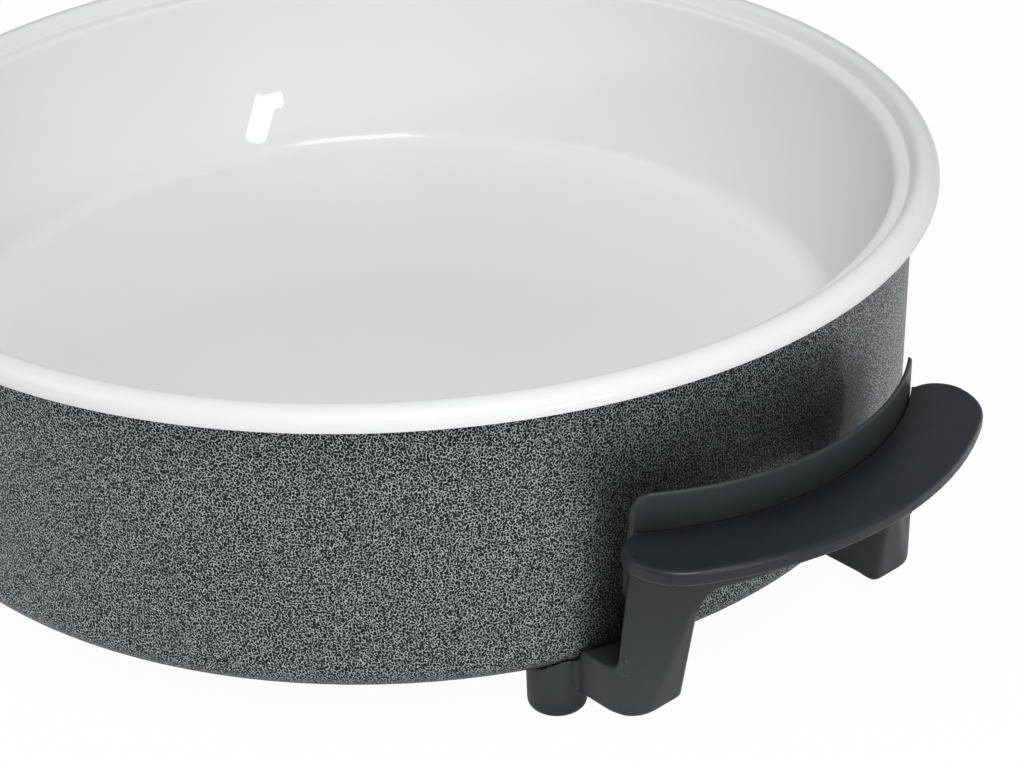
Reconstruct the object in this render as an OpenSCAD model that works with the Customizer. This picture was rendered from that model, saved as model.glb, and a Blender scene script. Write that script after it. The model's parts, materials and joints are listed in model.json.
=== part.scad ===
// Electric skillet: a round coated pan in a double-wall body, standing on two moulded handles,
// with a temperature control that plugs into an inlet under one handle.
// Millimetres. Z is up from the table. X runs through both handles, and the control is at -X.

/* [Pan] */
// Height of the rim's top above the table
overall_h = 134; // [130:1:145]
// Height of the pan's floor above the shell's underside
floor_rise = 35.5; // [34:0.5:38]
// Outer radius of the rolled rim
rim_r = 210.5; // [205:0.5:216]
// Radius over the top of the rolled rim
roll_r = 3.3; // [3:0.1:3.8]
// Height of the rim from its lower edge to its top
rim_h = 7; // [5.5:0.5:9]
// Depth of the lid seat below the rim's top
lid_step = 6; // [5:0.5:7]
// Distance from the rim's outer edge in to where the wall meets the lid seat
seat_inset = 18.5; // [16.5:0.5:24]
// Slope of the short wall between lid seat and rim, in degrees
seat_wall_angle = 50; // [42:1:60]
// Fillet between lid seat and short wall
seat_fillet = 1.5; // [1:0.25:2]
// Rounding where the wall turns onto the lid seat
lip_r = 4; // [3:0.5:5]
// Slope of the pan's wall from upright at its top, in degrees
wall_draft = 6; // [4:0.5:8]
// Slope of the pan's wall from upright at its foot, in degrees
foot_draft = 20; // [16:0.5:22]
// Fillet between the pan's floor and wall
floor_fillet = 5; // [4:0.5:8]
// Thickness of the pan's sheet
pan_t = 2; // [1.6:0.1:2.4]

/* [Shell] */
// How far the shell's wall stands in from the rim's outer edge
shell_inset = 9.3; // [8.8:0.1:10]
// Height of the shell's underside above the table
shell_lift = 19.5; // [18:0.5:22]
// Thickness of the shell
shell_t = 1.2; // [0.9:0.1:1.4]
// Rounding at the shell's lower edge
shell_corner_r = 10; // [8:0.5:12]
// Width of the ring left round the shell's underside
underside_w = 53.2; // [51:0.2:57]

/* [Bottom cover] */
// Distance of the cover's edge in from the shell's wall
cover_margin = 41.2; // [38:0.2:43]
// Thickness of the bottom cover
cover_t = 1.2; // [0.9:0.1:1.6]
// Distance of the cover's screws in from the shell's wall
cover_screw_margin = 47.2; // [46:0.2:48]
// Number of cover screws
cover_screws = 6; // [4:1:8]
// Height of the stiffening bead pressed into the cover
cover_bead_h = 2.5; // [1.5:0.25:3.5]
// Radius of the stiffening bead
cover_bead_r = 96; // [70:1:110]

/* [Heater] */
// Distance of the heat plate's edge in from the shell's wall
plate_margin = 51.2; // [48:0.2:58]
// Thickness of the heat plate
plate_t = 6; // [5:0.5:7]
// Distance of the element's loop in from the heat plate's edge
loop_margin = 32; // [26:1:38]
// Outer radius of the element's tube
tube_r = 4; // [3.5:0.1:4.4]
// How far the element's axis lies below the heat plate
tube_drop = 1; // [0.5:0.25:1.5]
// Radius of the bends from the loop into the cold ends
tube_bend_r = 14; // [12:1:18]
// Clearance between the tube and its groove
groove_gap = 0.25; // [0.2:0.05:0.35]
// Clearance between the tube and its clips
clip_gap = 0.35; // [0.3:0.05:0.5]
// Angles of the element clips round the loop, in degrees
clip_angles = [0, 55, 110, 250, 305];
// Thickness of the clips' strip
clip_t = 1.2; // [0.8:0.1:1.6]
// Width of the clips' strip
clip_w = 12; // [8:1:16]
// Distance from the loop to each clip screw
clip_screw_span = 13; // [12:0.5:16]
// Clearance between the heat shield and the sensor's boss
shield_gap = 3; // [2:0.2:4]
// Distance of the heat shield's edge in from the shell's wall
shield_margin = 49.7; // [49.2:0.1:50.2]
// Thickness of the heat shield
shield_t = 0.8; // [0.5:0.1:1]
// Radius of the tie stud
stud_r = 3; // [2.5:0.25:3.5]
// Radius of the boss that the tie stud is set in
stud_boss_r = 9; // [7:0.5:11]
// Clearance of the holes that the screws and the stud pass through
hole_gap = 0.3; // [0.2:0.05:0.5]

/* [Inlet] */
// Clearance between the terminal pins and the collar's opening
pin_margin = 1.95; // [1.6:0.05:2.6]
// Radius of the terminal pins
pin_r = 3; // [2.5:0.1:3.2]
// How far the pins stand out from the shell's wall
pin_reach = 20.8; // [18:0.2:22]
// Width of metal left between the window and each inlet screw's hole
window_margin = 1.5; // [1:0.1:2]
// Width of the collar's lip inside the window
collar_lip = 2; // [1.5:0.1:2.4]
// Height of the window in the shell's wall
window_h = 22; // [20:0.5:24]
// Width of the insulating block beyond each inlet screw's axis
block_margin = 5.5; // [4:0.5:6]
// Height of the insulating block
block_h = 26; // [25:0.5:28]
// Thickness of the insulating block
block_t = 9; // [7:0.5:11]
// Outer width of the collar round the inlet
collar_w = 68; // [67:0.5:69]
// Outer height of the collar
collar_h = 38; // [36:0.5:40]
// Wall of the collar
collar_t = 2.8; // [2:0.1:3.2]
// How far the collar stands out from the shell's wall
collar_reach = 25; // [23:0.5:27]
// Thickness of the collar's back plate
collar_back_t = 4.5; // [4:0.25:6]
// Clearance between the inlet screws' heads and the collar's inside
inlet_screw_gap = 2.5; // [1.5:0.25:3]
// Width of the earth strap
strap_w = 8; // [6:0.5:10]
// Thickness of the earth strap
strap_t = 0.8; // [0.6:0.1:1.2]
// Length of the earth strap that lies on the heat plate
strap_lap = 22; // [18:1:28]

/* [Handles] */
// Height of the grip's top above the table
grip_z = 82; // [80:0.5:84]
// Thickness of the grip
grip_t = 5.5; // [5:0.25:7]
// Width of the grip across its middle
grip_w = 26.9; // [25:0.1:28]
// How far the grip's outer edge stands out from the shell's wall
grip_reach = 55.3; // [53:0.1:57]
// Radius of the grip's outer edge
grip_r = 140.5; // [136:0.5:146]
// Radius of the grip's ends
ear_r = 12.2; // [11.5:0.1:12.6]
// Distance of the grip's end centres from the handle's middle
ear_y = 69.6; // [68.8:0.2:70.4]
// Distance of the grip's end centres from the shell's wall
ear_x = 17.4; // [16.8:0.2:18]
// Radius that blends each end into the outer edge
blend_r = 22.5; // [20:0.5:25]
// Rounding of the grip's upper edge
grip_edge_r = 1.8; // [1:0.1:2.4]
// Clearance between the grip and the guard
grip_gap = 0.15; // [0.1:0.05:0.3]
// Height of the guard above the grip
guard_h = 14; // [10:0.5:17]
// Thickness of the guard at its foot
guard_t = 2.8; // [2.4:0.1:3.2]
// Thickness of the guard at its top
guard_top_t = 1.4; // [1.2:0.1:2]
// Half the guard's length across
guard_half_w = 69; // [67:0.5:70]
// Rounding of the guard's upper corners
guard_corner_r = 6; // [4:0.5:9]
// Thickness of the wall under the guard
wall_t = 4; // [3:0.25:5]
// Height of that wall's lower edge above the table
wall_z = 55; // [52:1:58]
// Thickness of the shelf under the grip
shelf_t = 4.5; // [4:0.25:6]
// How far the shelf stands back from the grip's outer edge
shelf_setback = 9; // [7:0.5:11]
// Clearance round the collar in the left bracket's wall
notch_gap = 3; // [2:0.25:4]

/* [Legs] */
// Distance of each leg's outer side from the handle's middle
leg_outer_y = 75; // [74:0.5:77]
// Distance of each leg's inner side from the handle's middle
leg_inner_y = 49; // [48:0.5:51]
// Distance of the leg's outer face from the shell's wall, at the bottom
leg_face_x = 10.2; // [9:0.2:11.4]
// Thickness of the leg
leg_t = 7.5; // [6.5:0.25:8.5]
// Rounding of the leg's outer corner
leg_corner_r = 12; // [10:0.5:13]
// Rounding of the leg's inner corner
leg_inner_corner_r = 3.5; // [2.5:0.5:6]
// Height of the leg's underside above the table
leg_z = 9; // [8:0.5:11]
// Height of the arm's top above the table
arm_top_z = 28; // [26:0.5:30]
// Fillet between leg and wall
leg_fillet = 8; // [6:0.5:10]
// Fillet between leg and arm
arm_fillet = 5; // [4:0.5:7]
// Distance of the foot screw in from the edge of the shell's flat underside
foot_screw_margin = 4.2; // [3.6:0.1:4.8]
// Distance of the foot's axis from the handle's middle
foot_y = 74; // [72.5:0.5:75.5]
// Radius of the round foot at its bottom
foot_r = 10.5; // [10:0.1:11]
// How much wider the foot is where it meets the shell
foot_flare = 0.4; // [0.2:0.1:0.8]
// Rounding round the foot's underside
foot_edge_r = 2.2; // [1.6:0.2:2.8]
// Clearance between the bracket and the shell
bracket_gap = 0.2; // [0.15:0.05:0.4]

/* [Fasteners] */
// Radius of the foot screws
foot_screw_r = 2.5; // [2:0.1:3]
// Radius of the foot screws' heads
foot_head_r = 4.2; // [3.8:0.1:4.4]
// Depth of the screw's seat in the foot, from the table
foot_seat_z = 12; // [10:0.5:13.5]
// Distance of the foot screw inwards from the foot's axis
foot_screw_off = 2.5; // [2:0.25:3]
// Thickness of the anchor plates
anchor_t = 2.5; // [2:0.25:3]
// Radius of the small screws
screw_r = 1.75; // [1.5:0.05:1.9]
// Radius of the small screws' heads
head_r = 3.2; // [3:0.1:3.4]
// Height of the small screws' heads
head_h = 2.2; // [1.6:0.1:2.4]
// Distance of the grip screws from the handle's middle
grip_screw_y = 34; // [28:1:40]

/* [Control] */
// Width of the control's body
ctrl_w = 64; // [62:0.5:68]
// Height of the control's body
ctrl_h = 34; // [32:0.5:36]
// Length of the control's body outside the collar
ctrl_l = 92; // [88:1:96]
// Wall of the control's housings
ctrl_t = 2.2; // [1.8:0.1:2.6]
// Inset of the control's rounded top and underside
ctrl_crown = 5; // [3:0.5:6]
// Corner radius of the control's body
ctrl_corner_r = 14; // [10:0.5:16]
// Clearance between the collar and what plugs into it
plug_gap = 0.8; // [0.5:0.1:1.2]
// How far the control's nose stays short of the collar's back plate
nose_gap = 3.6; // [3.4:0.1:4.2]
// Clearance between the control's body and the collar's mouth
mouth_gap = 2; // [1:0.25:3]
// Radius of the probe
probe_r = 3.8; // [3.2:0.1:4]
// Clearance round the probe in its bore
probe_gap = 0.3; // [0.3:0.05:0.5]
// Length of the sensor bore in the heat plate's boss
sensor_l = 34; // [28:1:40]
// Wall of a contact sleeve
sleeve_t = 1.4; // [1:0.1:1.6]
// Running clearance between a pin and its sleeve
sleeve_gap = 0.05; // [0.02:0.01:0.08]
// Length of a contact sleeve
sleeve_l = 18; // [16:0.5:20]

/* [Dial] */
// Radius of the dial
dial_r = 21; // [19:0.5:23]
// Height of the dial
dial_h = 12; // [10:0.5:14]
// Distance of the dial's axis from the control's outer end
dial_end_x = 33; // [31:0.5:36]
// Number of finger grooves round the dial
dial_grooves = 24; // [18:1:30]
// Radius of the finger grooves
dial_groove_r = 1.6; // [1.2:0.1:2]
// Clearance under the dial
dial_gap = 0.5; // [0.4:0.1:1]
// Radius of the dial's spindle
spindle_r = 3; // [2.5:0.1:3.5]
// Running clearance of the spindle in its holes
spindle_gap = 0.05; // [0.02:0.01:0.08]
// Radius of the pilot lamp
lamp_r = 3; // [2.5:0.1:3.5]
// Radius of the hole for the mains cord
cord_hole_r = 3.6; // [3.2:0.1:4]
// Radius of the cord gland where the housing holds it
gland_r = 6; // [5.5:0.1:6.5]

/* [Hidden] */
$fn = 96;

eps = 0.01;
arc_step = 8;

// Pan heights and radii
pan_floor_z = shell_lift + floor_rise;
seat_z = overall_h - lid_step;
seat_inner_r = rim_r - seat_inset;
rim_low_z = overall_h - rim_h;
roll_x = rim_r - roll_r;
roll_z = overall_h - roll_r;
short_wall_x = roll_x - roll_r * sin(seat_wall_angle)
    - (roll_z + roll_r * cos(seat_wall_angle) - seat_z) / tan(seat_wall_angle);
seat_fillet_x = short_wall_x - seat_fillet * tan(seat_wall_angle / 2);
lip_x = seat_inner_r + lip_r * tan((90 - wall_draft) / 2);
lip_low_z = seat_z - lip_r * (1 - sin(wall_draft));
wall_rise = lip_low_z - pan_floor_z - floor_fillet * (1 - sin(foot_draft));
wall_r = wall_rise / (sin(foot_draft) - sin(wall_draft));
wall_off_x = lip_x - (lip_r + wall_r) * cos(wall_draft);
wall_off_z = lip_low_z + wall_r * sin(wall_draft);
floor_flat_r = wall_off_x + (wall_r - floor_fillet) * cos(foot_draft);

// Shell
shell_r = rim_r - shell_inset;
shell_open_r = shell_r - underside_w;
shell_top_z = seat_z - pan_t;
ring_top_z = shell_lift + shell_t;
cover_low_z = shell_lift - cover_t;
cover_r = shell_r - cover_margin;
cover_screw_pcd_r = shell_r - cover_screw_margin;

// Heater stack, downwards from the pan's floor
plate_top_z = pan_floor_z - pan_t;
plate_low_z = plate_top_z - plate_t;
plate_r = shell_r - plate_margin;
loop_r = plate_r - loop_margin;
axis_z = plate_low_z - tube_drop;
inlet_screw_y = collar_w / 2 - collar_t - head_r - inlet_screw_gap;
window_w = 2 * (inlet_screw_y - screw_r - hole_gap - window_margin);
cold_y = window_w / 2 - collar_lip - pin_margin - pin_r;
bend_off_x = sqrt(pow(loop_r + tube_bend_r, 2) - pow(cold_y + tube_bend_r, 2));
bend_angle = asin((cold_y + tube_bend_r) / (loop_r + tube_bend_r));
cold_end_x = shell_r - 21;
sensor_boss_w = 16;
shield_r = shell_r - shield_margin;
shield_z = axis_z - sensor_boss_w / 2 - shield_gap - shield_t;
stud_boss_z = plate_low_z - 6;
tie_nut_h = 5;
washer_t = 1;
clip_plate_z = plate_low_z - clip_t;

// Inlet, measured outwards from the pan's axis
block_x = shell_r - shell_t - 3;
collar_face_x = shell_r + collar_back_t;
collar_mouth_x = shell_r + collar_reach;
pin_tip_x = shell_r + pin_reach;
block_w = 2 * (inlet_screw_y + block_margin);

// Handle, measured from the shell's wall
arc_x = grip_reach - grip_r;
guard_r = grip_r - grip_w;
grip_low_z = grip_z - grip_t;
grip_inner_r = guard_r + grip_gap;
shelf_z = grip_low_z - shelf_t;
leg_top_angle = asin(guard_half_w / guard_r);
leg_inner_angle = asin(leg_inner_y / guard_r);
foot_screw_x = sqrt(pow(shell_r - shell_corner_r - foot_screw_margin, 2) - pow(foot_y, 2)) - shell_r;
foot_x = foot_screw_x + foot_screw_off;
grip_screw_x = arc_x + sqrt(pow(guard_r + 0.4 * grip_w, 2) - pow(grip_screw_y, 2));
wall_skin = 0.15;
notch_w = collar_w + 2 * notch_gap;
notch_top_z = axis_z + collar_h / 2 + notch_gap;

// Control, measured outwards from the pan's axis
nose_x = collar_face_x + nose_gap;
nose_w = collar_w - 2 * collar_t - 2 * plug_gap;
nose_h = collar_h - 2 * collar_t - 2 * plug_gap;
ctrl_x = collar_mouth_x + mouth_gap;
ctrl_end_x = ctrl_x + ctrl_l;
ctrl_top_z = axis_z + ctrl_h / 2;
ctrl_low_z = axis_z - ctrl_h / 2;
sleeve_x = nose_x + 2;
sleeve_r = pin_r + sleeve_gap + sleeve_t;
probe_tip_x = plate_r - sensor_l + 2;
dial_x = ctrl_end_x - dial_end_x;
dial_z = ctrl_top_z + dial_gap;
switch_w = 24;
switch_l = 26;
switch_top_z = ctrl_top_z - ctrl_t - 4;
switch_h = 14;
ctrl_post_r = 3.6;
ctrl_post_inset = 9;
gland_flange_r = gland_r + 2;
gland_flange_t = 1.6;

// The middle of the whole length is the origin, so the pan stands to one side of it
pan_x = (ctrl_end_x + gland_flange_t - shell_r - grip_reach) / 2;

// Moves the pan's axis to its place
module placed() {
    translate([pan_x, 0, 0]) children();
}

// Places a handle's piece, drawn outwards from the wall: side 1 is right, and -1 is left
module at_handle(side) {
    placed() rotate([0, 0, side > 0 ? 0 : 180]) translate([shell_r, 0, 0]) children();
}

// Places a piece that is drawn along +X from the pan's axis, on the control's side
module at_inlet() {
    placed() rotate([0, 0, 180]) children();
}

module both_sides() {
    children();
    mirror([0, 1, 0]) children();
}

// Points of an arc from angle a to angle b
function arc(x, y, r, a, b, step = arc_step) =
    let (n = max(2, ceil(abs(b - a) / step)))
    [for (i = [0:n]) [x + r * cos(a + (b - a) * i / n), y + r * sin(a + (b - a) * i / n)]];

function reversed(points) = [for (i = [len(points) - 1:-1:0]) points[i]];

// Joins rings of equal length into one solid; cap lists the faces that close its first ring
module skin(rings, cap) {
    n = len(rings[0]);
    last = (len(rings) - 1) * n;
    polyhedron(
        points = [for (r = rings) for (p = r) p],
        faces = concat(
            cap,
            [for (j = [0:len(rings) - 2]) for (i = [0:n - 1])
                [j * n + i, (j + 1) * n + i, (j + 1) * n + (i + 1) % n, j * n + (i + 1) % n]],
            [for (f = cap) [for (i = reversed(f)) last + i]]
        ),
        convexity = 4
    );
}

module ring(inner_r, outer_r, h) {
    difference() {
        cylinder(r = outer_r, h = h);
        translate([0, 0, -1]) cylinder(r = inner_r, h = h + 2);
    }
}

module rounded_rect(l, w, r) {
    translate([r, -w / 2]) square([l - 2 * r, w]);
    translate([0, r - w / 2]) square([l, w - 2 * r]);
    for (x = [r, l - r], y = [r - w / 2, w / 2 - r]) translate([x, y]) circle(r = r);
}

// A pan-head screw pointing up: the head's underside at z 0, the shank above it
module screw(shank_r, shank_l, cap_r, cap_h) {
    cylinder(r = shank_r, h = shank_l);
    difference() {
        translate([0, 0, -cap_h]) cylinder(r = cap_r, h = cap_h);
        translate([0, 0, -cap_h - eps]) cross_recess(cap_r, cap_h / 2);
    }
}

module cross_recess(cap_r, depth) {
    for (a = [0, 90]) rotate([0, 0, a])
        translate([-cap_r * 0.55, -cap_r * 0.12, 0]) cube([cap_r * 1.1, cap_r * 0.24, depth]);
}

// ---- Pan ----

// One face of the pan's sheet, from the axis to the skirt's end; t moves it down and outwards
function pan_face(t) = concat(
    [[0, pan_floor_z - t]],
    arc(floor_flat_r, pan_floor_z + floor_fillet, floor_fillet + t, -90, -foot_draft),
    [for (i = [1:7]) let (a = -foot_draft + (foot_draft - wall_draft) * i / 8)
        [wall_off_x + (wall_r + t) * cos(a), wall_off_z + (wall_r + t) * sin(a)]],
    arc(lip_x, seat_z - lip_r, lip_r - t, 180 - wall_draft, 90, 15),
    arc(seat_fillet_x, seat_z + seat_fillet, seat_fillet + t, -90, seat_wall_angle - 90, 15),
    arc(roll_x, roll_z, roll_r - t, 90 + seat_wall_angle, 0, 12),
    [[rim_r - t, rim_low_z]]
);

module cooking_pan() {
    color([0.93, 0.93, 0.92]) placed() rotate_extrude()
        polygon(concat(pan_face(0), reversed(pan_face(pan_t))));
}

// ---- Shell and bottom ----

function shell_face(t) = concat(
    [[shell_r - t, shell_top_z]],
    arc(shell_r - shell_corner_r, shell_lift + shell_corner_r, shell_corner_r - t, 0, -90),
    [[shell_open_r, shell_lift + t]]
);

module outer_shell() {
    color([0.30, 0.31, 0.32]) placed() difference() {
        rotate_extrude() polygon(concat(shell_face(0), reversed(shell_face(shell_t))));
        // Window and screw holes of the inlet
        rotate([0, 0, 180]) {
            translate([shell_r - 20, -window_w / 2, axis_z - window_h / 2]) cube([30, window_w, window_h]);
            for (y = [-inlet_screw_y, inlet_screw_y]) translate([shell_r - 20, y, axis_z])
                rotate([0, 90, 0]) cylinder(r = screw_r + hole_gap, h = 30);
        }
        // Holes for the foot screws and the cover's screws
        for (side = [0, 180], y = [-foot_y, foot_y]) rotate([0, 0, side])
            translate([shell_r + foot_screw_x, y, shell_lift - 1])
                cylinder(r = foot_screw_r + hole_gap, h = shell_t + 2);
        cover_screw_places() translate([0, 0, shell_lift - 1]) cylinder(r = screw_r, h = shell_t + 2);
    }
}

module cover_screw_places() {
    for (i = [0:cover_screws - 1]) rotate([0, 0, (i + 0.5) * 360 / cover_screws])
        translate([cover_screw_pcd_r, 0, 0]) children();
}

module bottom_cover() {
    color([0.62, 0.63, 0.64]) placed() difference() {
        union() {
            translate([0, 0, cover_low_z]) cylinder(r = cover_r, h = cover_t);
            translate([0, 0, shell_lift - eps]) ring(cover_bead_r - 5, cover_bead_r + 5, cover_bead_h + eps);
        }
        translate([0, 0, cover_low_z - eps])
            ring(cover_bead_r - 5 + cover_t, cover_bead_r + 5 - cover_t, cover_bead_h);
        translate([0, 0, cover_low_z - 1]) cylinder(r = stud_r + hole_gap, h = cover_t + 2);
        cover_screw_places() translate([0, 0, cover_low_z - 1])
            cylinder(r = screw_r + hole_gap, h = cover_t + 2);
    }
}

module cover_fasteners() {
    color([0.75, 0.75, 0.76]) placed() cover_screw_places()
        translate([0, 0, cover_low_z]) screw(screw_r, cover_t + shell_t + 4, head_r, head_h);
}

module tie_stud() {
    color([0.70, 0.70, 0.71]) placed()
        translate([0, 0, cover_low_z - washer_t - tie_nut_h - 2])
            cylinder(r = stud_r, h = plate_low_z - cover_low_z + washer_t + tie_nut_h + 2);
}

module tie_washer() {
    color([0.75, 0.75, 0.76]) placed()
        translate([0, 0, cover_low_z - washer_t]) ring(stud_r + hole_gap, stud_r * 3, washer_t);
}

module tie_nut() {
    color([0.72, 0.72, 0.73]) placed() translate([0, 0, cover_low_z - washer_t - tie_nut_h]) difference() {
        cylinder(r = stud_r * 1.9, h = tie_nut_h, $fn = 6);
        translate([0, 0, -1]) cylinder(r = stud_r, h = tie_nut_h + 2);
    }
}

// ---- Heater ----

module heat_plate() {
    sensor_x = plate_r - sensor_l;
    relief_x = loop_r * cos(bend_angle) - tube_r - 1;
    relief_y = sensor_boss_w / 2 + 1.5;
    relief_w = (loop_r + tube_r) * sin(bend_angle) + tube_r - relief_y;
    color([0.72, 0.73, 0.74]) at_inlet() difference() {
        union() {
            translate([0, 0, plate_low_z]) cylinder(r = plate_r, h = plate_t);
            translate([0, 0, stud_boss_z]) ring(stud_r, stud_boss_r, plate_low_z - stud_boss_z + eps);
            translate([sensor_x, -sensor_boss_w / 2, axis_z - sensor_boss_w / 2])
                cube([sensor_l - 4, sensor_boss_w, plate_low_z - axis_z + sensor_boss_w / 2 + eps]);
        }
        translate([0, 0, axis_z]) rotate([0, 0, bend_angle]) rotate_extrude(angle = 360 - 2 * bend_angle)
            translate([loop_r, 0]) circle(r = tube_r + groove_gap);
        // Reliefs where the element's ends bend outwards
        both_sides() translate([relief_x, relief_y, plate_low_z - 1])
            cube([plate_r, relief_w, 1 + tube_r + groove_gap - tube_drop]);
        translate([sensor_x + 2, 0, axis_z]) rotate([0, 90, 0])
            cylinder(r = probe_r + probe_gap, h = sensor_l + 20);
        clip_places() for (x = [-clip_screw_span, clip_screw_span])
            translate([loop_r + x, 0, plate_low_z - eps]) cylinder(r = screw_r, h = 4);
    }
}

// Stations [x, y, heading] along the element: cold end, bend, loop, bend, cold end
element_line = concat(
    [[cold_end_x, cold_y, 180]],
    [for (i = [0:6]) let (a = 270 - (90 - bend_angle) * i / 6)
        [bend_off_x + tube_bend_r * cos(a), cold_y + tube_bend_r + tube_bend_r * sin(a), a - 90]],
    [for (i = [1:71]) let (a = bend_angle + (360 - 2 * bend_angle) * i / 72)
        [loop_r * cos(a), loop_r * sin(a), a + 90]],
    [for (i = [6:-1:0]) let (a = 90 + (90 - bend_angle) * i / 6)
        [bend_off_x + tube_bend_r * cos(a), -cold_y - tube_bend_r + tube_bend_r * sin(a), a - 90]],
    [[cold_end_x, -cold_y, 0]]
);

function tube_ring(s, sides) = [for (i = [0:sides - 1]) let (a = 360 * i / sides, c = tube_r * cos(a))
    [s[0] - c * sin(s[2]), s[1] + c * cos(s[2]), axis_z + tube_r * sin(a)]];

module heating_element() {
    sides = 14;
    color([0.42, 0.42, 0.40]) at_inlet()
        skin([for (station = element_line) tube_ring(station, sides)], [[for (i = [0:sides - 1]) i]]);
}

module terminal_pins() {
    color([0.80, 0.78, 0.72]) at_inlet() both_sides()
        translate([cold_end_x, cold_y, axis_z]) rotate([0, 90, 0]) {
            cylinder(r = pin_r, h = pin_tip_x - cold_end_x - 1);
            translate([0, 0, pin_tip_x - cold_end_x - 1]) cylinder(r1 = pin_r, r2 = pin_r - 1, h = 1);
        }
}

module clip_places() {
    for (a = clip_angles) rotate([0, 0, a + 180]) children();
}

module element_clips() {
    bridge_r = tube_r + clip_gap + clip_t;
    tongue_l = clip_screw_span + head_r + 1;
    color([0.66, 0.66, 0.67]) at_inlet() clip_places() translate([loop_r, clip_w / 2, 0]) rotate([90, 0, 0])
        difference() {
            linear_extrude(clip_w) difference() {
                union() {
                    translate([-tongue_l, clip_plate_z]) square([2 * tongue_l, clip_t]);
                    translate([0, axis_z]) circle(r = bridge_r);
                }
                translate([0, axis_z]) circle(r = tube_r + clip_gap);
                translate([-tongue_l, plate_low_z]) square([2 * tongue_l, bridge_r + 1]);
            }
            for (x = [-clip_screw_span, clip_screw_span]) translate([x, clip_plate_z - 1, clip_w / 2])
                rotate([-90, 0, 0]) cylinder(r = screw_r + hole_gap, h = clip_t + 2);
        }
}

module clip_screws() {
    color([0.75, 0.75, 0.76]) at_inlet() clip_places() for (x = [-clip_screw_span, clip_screw_span])
        translate([loop_r + x, 0, clip_plate_z]) screw(screw_r, clip_t + 3, head_r, head_h * 0.7);
}

module heat_shield() {
    color([0.78, 0.79, 0.80]) placed() difference() {
        translate([0, 0, ring_top_z]) cylinder(r = shield_r, h = shield_z + shield_t - ring_top_z);
        translate([0, 0, ring_top_z - 1]) cylinder(r = shield_r - shield_t, h = shield_z - ring_top_z + 1);
        translate([0, 0, shield_z - 1]) cylinder(r = stud_r + hole_gap, h = shield_t + 2);
    }
}

// ---- Inlet ----

module inlet_block() {
    color([0.90, 0.88, 0.82]) at_inlet() difference() {
        intersection() {
            union() {
                translate([block_x - block_t, -block_w / 2, axis_z - block_h / 2])
                    cube([block_t, block_w, block_h]);
                translate([block_x - eps, -window_w / 2 + 1, axis_z - window_h / 2 + 1])
                    cube([shell_r - block_x, window_w - 2, window_h - 2]);
            }
            cylinder(r = shell_r, h = overall_h);
        }
        for (y = [-cold_y, cold_y]) translate([0, y, axis_z]) rotate([0, 90, 0])
            cylinder(r = pin_r, h = shell_r + 5);
        translate([0, 0, axis_z]) rotate([0, 90, 0]) cylinder(r = probe_r + 2 * probe_gap, h = shell_r + 5);
        for (y = [-inlet_screw_y, inlet_screw_y]) translate([block_x - block_t + 1, y, axis_z])
            rotate([0, 90, 0]) cylinder(r = screw_r, h = block_t + 5);
    }
}

module inlet_collar() {
    inner_w = collar_w - 2 * collar_t;
    inner_h = collar_h - 2 * collar_t;
    color([0.14, 0.15, 0.16]) at_inlet() difference() {
        collar_block(shell_r - 12, collar_w, collar_h, 5);
        collar_block(collar_face_x, inner_w, inner_h, 3);
        cylinder(r = shell_r, h = overall_h);
        translate([shell_r - 20, collar_lip - window_w / 2, axis_z - window_h / 2 + collar_lip])
            cube([40, window_w - 2 * collar_lip, window_h - 2 * collar_lip]);
        for (y = [-inlet_screw_y, inlet_screw_y]) translate([shell_r - 20, y, axis_z])
            rotate([0, 90, 0]) cylinder(r = screw_r + hole_gap, h = 40);
    }
}

// A rounded block from x out to the collar's mouth
module collar_block(x, w, h, r) {
    translate([x, 0, axis_z]) rotate([90, 0, 90]) linear_extrude(collar_mouth_x - x + (r < 5 ? 1 : 0))
        translate([-w / 2, 0]) rounded_rect(w, h, r);
}

module inlet_screws() {
    shank_l = collar_face_x - block_x + block_t - 2;
    color([0.75, 0.75, 0.76]) at_inlet() for (y = [-inlet_screw_y, inlet_screw_y])
        translate([collar_face_x, y, axis_z]) rotate([0, -90, 0]) screw(screw_r, shank_l, head_r, head_h);
}

// Strip from the heat plate's underside to the back of the insulating block
module earth_strap() {
    strap_x = plate_r - strap_lap;
    strap_y = -block_w / 2 - strap_w - 2;
    strap_end_x = block_x - block_t;
    color([0.82, 0.62, 0.34]) at_inlet() {
        translate([strap_x, strap_y, plate_low_z - strap_t])
            cube([strap_end_x - strap_x, strap_w, strap_t]);
        translate([strap_end_x - strap_t, strap_y, plate_low_z - strap_w])
            cube([strap_t, 2 * strap_w, strap_w]);
    }
}

// ---- Handles ----

// Angle of the point where circles A and B meet, seen from A's centre at the origin
function meet_angle(d, r_a, r_b) = acos((d * d + r_a * r_a - r_b * r_b) / (2 * d * r_a));

ear_off_x = ear_x - arc_x;
ear_distance = norm([ear_off_x, ear_y]);
ear_angle = atan2(ear_y, ear_off_x);
inner_end_angle = ear_angle + meet_angle(ear_distance, grip_inner_r, ear_r);
ear_start = [grip_inner_r * cos(inner_end_angle) - ear_off_x, grip_inner_r * sin(inner_end_angle) - ear_y];
ear_start_angle = atan2(ear_start[1], ear_start[0]) + (ear_start[1] < 0 ? 360 : 0);
blend_distance = grip_r - blend_r;
blend_angle = ear_angle - meet_angle(ear_distance, blend_distance, blend_r - ear_r);
blend_off = [blend_distance * cos(blend_angle), blend_distance * sin(blend_angle)];
ear_end_angle = atan2(ear_y - blend_off[1], ear_off_x - blend_off[0]);

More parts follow.
